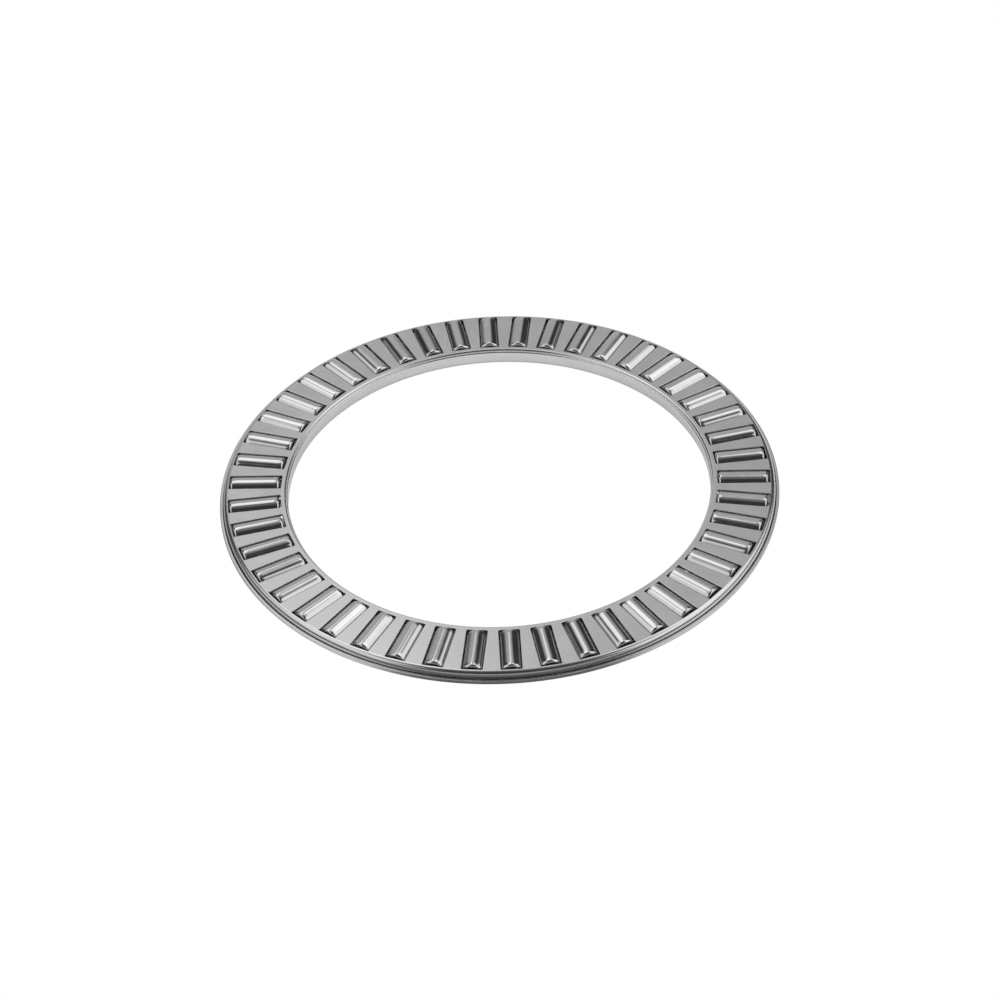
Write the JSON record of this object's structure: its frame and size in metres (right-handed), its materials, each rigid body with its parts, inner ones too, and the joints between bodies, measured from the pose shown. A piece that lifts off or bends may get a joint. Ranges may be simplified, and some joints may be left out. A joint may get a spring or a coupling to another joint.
{
  "type": "axial needle roller and cage assembly",
  "caption": "Thin axial (thrust) needle roller bearing ring: radial needle rollers held in the slots of a two-shell pressed steel cage, without raceway washers.",
  "frame": {"origin": "on the bearing's axis, in the plane where the rollers touch the lower raceway", "axes": "+Z along the bearing's axis towards the upper raceway; roller 01 lies along +X, and the others follow it counter-clockwise seen from +Z"},
  "size_m": [0.0994, 0.0994, 0.004],
  "materials": {
    "cage_steel": "satin",
    "roller_steel": "polished"
  },
  "bodies": {
    "cage": {"upper_cage_shell": "cage_steel", "lower_cage_shell": "cage_steel"},
    "roller_01": {"roller_01": "roller_steel"},
    "roller_02": {"roller_02": "roller_steel"},
    "roller_03": {"roller_03": "roller_steel"},
    "roller_04": {"roller_04": "roller_steel"},
    "roller_05": {"roller_05": "roller_steel"},
    "roller_06": {"roller_06": "roller_steel"},
    "roller_07": {"roller_07": "roller_steel"},
    "roller_08": {"roller_08": "roller_steel"},
    "roller_09": {"roller_09": "roller_steel"},
    "roller_10": {"roller_10": "roller_steel"},
    "roller_11": {"roller_11": "roller_steel"},
    "roller_12": {"roller_12": "roller_steel"},
    "roller_13": {"roller_13": "roller_steel"},
    "roller_14": {"roller_14": "roller_steel"},
    "roller_15": {"roller_15": "roller_steel"},
    "roller_16": {"roller_16": "roller_steel"},
    "roller_17": {"roller_17": "roller_steel"},
    "roller_18": {"roller_18": "roller_steel"},
    "roller_19": {"roller_19": "roller_steel"},
    "roller_20": {"roller_20": "roller_steel"},
    "roller_21": {"roller_21": "roller_steel"},
    "roller_22": {"roller_22": "roller_steel"},
    "roller_23": {"roller_23": "roller_steel"},
    "roller_24": {"roller_24": "roller_steel"},
    "roller_25": {"roller_25": "roller_steel"},
    "roller_26": {"roller_26": "roller_steel"},
    "roller_27": {"roller_27": "roller_steel"},
    "roller_28": {"roller_28": "roller_steel"},
    "roller_29": {"roller_29": "roller_steel"},
    "roller_30": {"roller_30": "roller_steel"},
    "roller_31": {"roller_31": "roller_steel"},
    "roller_32": {"roller_32": "roller_steel"},
    "roller_33": {"roller_33": "roller_steel"},
    "roller_34": {"roller_34": "roller_steel"},
    "roller_35": {"roller_35": "roller_steel"},
    "roller_36": {"roller_36": "roller_steel"},
    "roller_37": {"roller_37": "roller_steel"},
    "roller_38": {"roller_38": "roller_steel"},
    "roller_39": {"roller_39": "roller_steel"},
    "roller_40": {"roller_40": "roller_steel"},
    "roller_41": {"roller_41": "roller_steel"},
    "roller_42": {"roller_42": "roller_steel"},
    "roller_43": {"roller_43": "roller_steel"},
    "roller_44": {"roller_44": "roller_steel"},
    "roller_45": {"roller_45": "roller_steel"},
    "roller_46": {"roller_46": "roller_steel"}
  },
  "joints": [
    {"name": "roller_01_spin", "type": "hinge", "parent": "cage", "child": "roller_01", "pos_m": [0.04345, 0, 0.002], "axis": [1, 0, 0], "continuous": true},
    {"name": "roller_02_spin", "type": "hinge", "parent": "cage", "child": "roller_02", "pos_m": [0.04305, 0.00592, 0.002], "axis": [0.9907, 0.1362, 0], "continuous": true},
    {"name": "roller_03_spin", "type": "hinge", "parent": "cage", "child": "roller_03", "pos_m": [0.04184, 0.01172, 0.002], "axis": [0.9629, 0.2698, 0], "continuous": true},
    {"name": "roller_04_spin", "type": "hinge", "parent": "cage", "child": "roller_04", "pos_m": [0.03985, 0.01731, 0.002], "axis": [0.9172, 0.3984, 0], "continuous": true},
    {"name": "roller_05_spin", "type": "hinge", "parent": "cage", "child": "roller_05", "pos_m": [0.03712, 0.02258, 0.002], "axis": [0.8544, 0.5196, 0], "continuous": true},
    {"name": "roller_06_spin", "type": "hinge", "parent": "cage", "child": "roller_06", "pos_m": [0.0337, 0.02742, 0.002], "axis": [0.7757, 0.6311, 0], "continuous": true},
    {"name": "roller_07_spin", "type": "hinge", "parent": "cage", "child": "roller_07", "pos_m": [0.02966, 0.03175, 0.002], "axis": [0.6826, 0.7308, 0], "continuous": true},
    {"name": "roller_08_spin", "type": "hinge", "parent": "cage", "child": "roller_08", "pos_m": [0.02506, 0.0355, 0.002], "axis": [0.5767, 0.817, 0], "continuous": true},
    {"name": "roller_09_spin", "type": "hinge", "parent": "cage", "child": "roller_09", "pos_m": [0.01999, 0.03858, 0.002], "axis": [0.4601, 0.8879, 0], "continuous": true},
    {"name": "roller_10_spin", "type": "hinge", "parent": "cage", "child": "roller_10", "pos_m": [0.01455, 0.04094, 0.002], "axis": [0.3349, 0.9423, 0], "continuous": true},
    {"name": "roller_11_spin", "type": "hinge", "parent": "cage", "child": "roller_11", "pos_m": [0.00884, 0.04254, 0.002], "axis": [0.2035, 0.9791, 0], "continuous": true},
    {"name": "roller_12_spin", "type": "hinge", "parent": "cage", "child": "roller_12", "pos_m": [0.00297, 0.04335, 0.002], "axis": [0.0682, 0.9977, 0], "continuous": true},
    {"name": "roller_13_spin", "type": "hinge", "parent": "cage", "child": "roller_13", "pos_m": [-0.00297, 0.04335, 0.002], "axis": [-0.0682, 0.9977, 0], "continuous": true},
    {"name": "roller_14_spin", "type": "hinge", "parent": "cage", "child": "roller_14", "pos_m": [-0.00884, 0.04254, 0.002], "axis": [-0.2035, 0.9791, 0], "continuous": true},
    {"name": "roller_15_spin", "type": "hinge", "parent": "cage", "child": "roller_15", "pos_m": [-0.01455, 0.04094, 0.002], "axis": [-0.3349, 0.9423, 0], "continuous": true},
    {"name": "roller_16_spin", "type": "hinge", "parent": "cage", "child": "roller_16", "pos_m": [-0.01999, 0.03858, 0.002], "axis": [-0.4601, 0.8879, 0], "continuous": true},
    {"name": "roller_17_spin", "type": "hinge", "parent": "cage", "child": "roller_17", "pos_m": [-0.02506, 0.0355, 0.002], "axis": [-0.5767, 0.817, 0], "continuous": true},
    {"name": "roller_18_spin", "type": "hinge", "parent": "cage", "child": "roller_18", "pos_m": [-0.02966, 0.03175, 0.002], "axis": [-0.6826, 0.7308, 0], "continuous": true},
    {"name": "roller_19_spin", "type": "hinge", "parent": "cage", "child": "roller_19", "pos_m": [-0.0337, 0.02742, 0.002], "axis": [-0.7757, 0.6311, 0], "continuous": true},
    {"name": "roller_20_spin", "type": "hinge", "parent": "cage", "child": "roller_20", "pos_m": [-0.03712, 0.02258, 0.002], "axis": [-0.8544, 0.5196, 0], "continuous": true},
    {"name": "roller_21_spin", "type": "hinge", "parent": "cage", "child": "roller_21", "pos_m": [-0.03985, 0.01731, 0.002], "axis": [-0.9172, 0.3984, 0], "continuous": true},
    {"name": "roller_22_spin", "type": "hinge", "parent": "cage", "child": "roller_22", "pos_m": [-0.04184, 0.01172, 0.002], "axis": [-0.9629, 0.2698, 0], "continuous": true},
    {"name": "roller_23_spin", "type": "hinge", "parent": "cage", "child": "roller_23", "pos_m": [-0.04305, 0.00592, 0.002], "axis": [-0.9907, 0.1362, 0], "continuous": true},
    {"name": "roller_24_spin", "type": "hinge", "parent": "cage", "child": "roller_24", "pos_m": [-0.04345, 0, 0.002], "axis": [-1, 0, 0], "continuous": true},
    {"name": "roller_25_spin", "type": "hinge", "parent": "cage", "child": "roller_25", "pos_m": [-0.04305, -0.00592, 0.002], "axis": [-0.9907, -0.1362, 0], "continuous": true},
    {"name": "roller_26_spin", "type": "hinge", "parent": "cage", "child": "roller_26", "pos_m": [-0.04184, -0.01172, 0.002], "axis": [-0.9629, -0.2698, 0], "continuous": true},
    {"name": "roller_27_spin", "type": "hinge", "parent": "cage", "child": "roller_27", "pos_m": [-0.03985, -0.01731, 0.002], "axis": [-0.9172, -0.3984, 0], "continuous": true},
    {"name": "roller_28_spin", "type": "hinge", "parent": "cage", "child": "roller_28", "pos_m": [-0.03712, -0.02258, 0.002], "axis": [-0.8544, -0.5196, 0], "continuous": true},
    {"name": "roller_29_spin", "type": "hinge", "parent": "cage", "child": "roller_29", "pos_m": [-0.0337, -0.02742, 0.002], "axis": [-0.7757, -0.6311, 0], "continuous": true},
    {"name": "roller_30_spin", "type": "hinge", "parent": "cage", "child": "roller_30", "pos_m": [-0.02966, -0.03175, 0.002], "axis": [-0.6826, -0.7308, 0], "continuous": true},
    {"name": "roller_31_spin", "type": "hinge", "parent": "cage", "child": "roller_31", "pos_m": [-0.02506, -0.0355, 0.002], "axis": [-0.5767, -0.817, 0], "continuous": true},
    {"name": "roller_32_spin", "type": "hinge", "parent": "cage", "child": "roller_32", "pos_m": [-0.01999, -0.03858, 0.002], "axis": [-0.4601, -0.8879, 0], "continuous": true},
    {"name": "roller_33_spin", "type": "hinge", "parent": "cage", "child": "roller_33", "pos_m": [-0.01455, -0.04094, 0.002], "axis": [-0.3349, -0.9423, 0], "continuous": true},
    {"name": "roller_34_spin", "type": "hinge", "parent": "cage", "child": "roller_34", "pos_m": [-0.00884, -0.04254, 0.002], "axis": [-0.2035, -0.9791, 0], "continuous": true},
    {"name": "roller_35_spin", "type": "hinge", "parent": "cage", "child": "roller_35", "pos_m": [-0.00297, -0.04335, 0.002], "axis": [-0.0682, -0.9977, 0], "continuous": true},
    {"name": "roller_36_spin", "type": "hinge", "parent": "cage", "child": "roller_36", "pos_m": [0.00297, -0.04335, 0.002], "axis": [0.0682, -0.9977, 0], "continuous": true},
    {"name": "roller_37_spin", "type": "hinge", "parent": "cage", "child": "roller_37", "pos_m": [0.00884, -0.04254, 0.002], "axis": [0.2035, -0.9791, 0], "continuous": true},
    {"name": "roller_38_spin", "type": "hinge", "parent": "cage", "child": "roller_38", "pos_m": [0.01455, -0.04094, 0.002], "axis": [0.3349, -0.9423, 0], "continuous": true},
    {"name": "roller_39_spin", "type": "hinge", "parent": "cage", "child": "roller_39", "pos_m": [0.01999, -0.03858, 0.002], "axis": [0.4601, -0.8879, 0], "continuous": true},
    {"name": "roller_40_spin", "type": "hinge", "parent": "cage", "child": "roller_40", "pos_m": [0.02506, -0.0355, 0.002], "axis": [0.5767, -0.817, 0], "continuous": true},
    {"name": "roller_41_spin", "type": "hinge", "parent": "cage", "child": "roller_41", "pos_m": [0.02966, -0.03175, 0.002], "axis": [0.6826, -0.7308, 0], "continuous": true},
    {"name": "roller_42_spin", "type": "hinge", "parent": "cage", "child": "roller_42", "pos_m": [0.0337, -0.02742, 0.002], "axis": [0.7757, -0.6311, 0], "continuous": true},
    {"name": "roller_43_spin", "type": "hinge", "parent": "cage", "child": "roller_43", "pos_m": [0.03712, -0.02258, 0.002], "axis": [0.8544, -0.5196, 0], "continuous": true},
    {"name": "roller_44_spin", "type": "hinge", "parent": "cage", "child": "roller_44", "pos_m": [0.03985, -0.01731, 0.002], "axis": [0.9172, -0.3984, 0], "continuous": true},
    {"name": "roller_45_spin", "type": "hinge", "parent": "cage", "child": "roller_45", "pos_m": [0.04184, -0.01172, 0.002], "axis": [0.9629, -0.2698, 0], "continuous": true},
    {"name": "roller_46_spin", "type": "hinge", "parent": "cage", "child": "roller_46", "pos_m": [0.04305, -0.00592, 0.002], "axis": [0.9907, -0.1362, 0], "continuous": true}
  ]
}
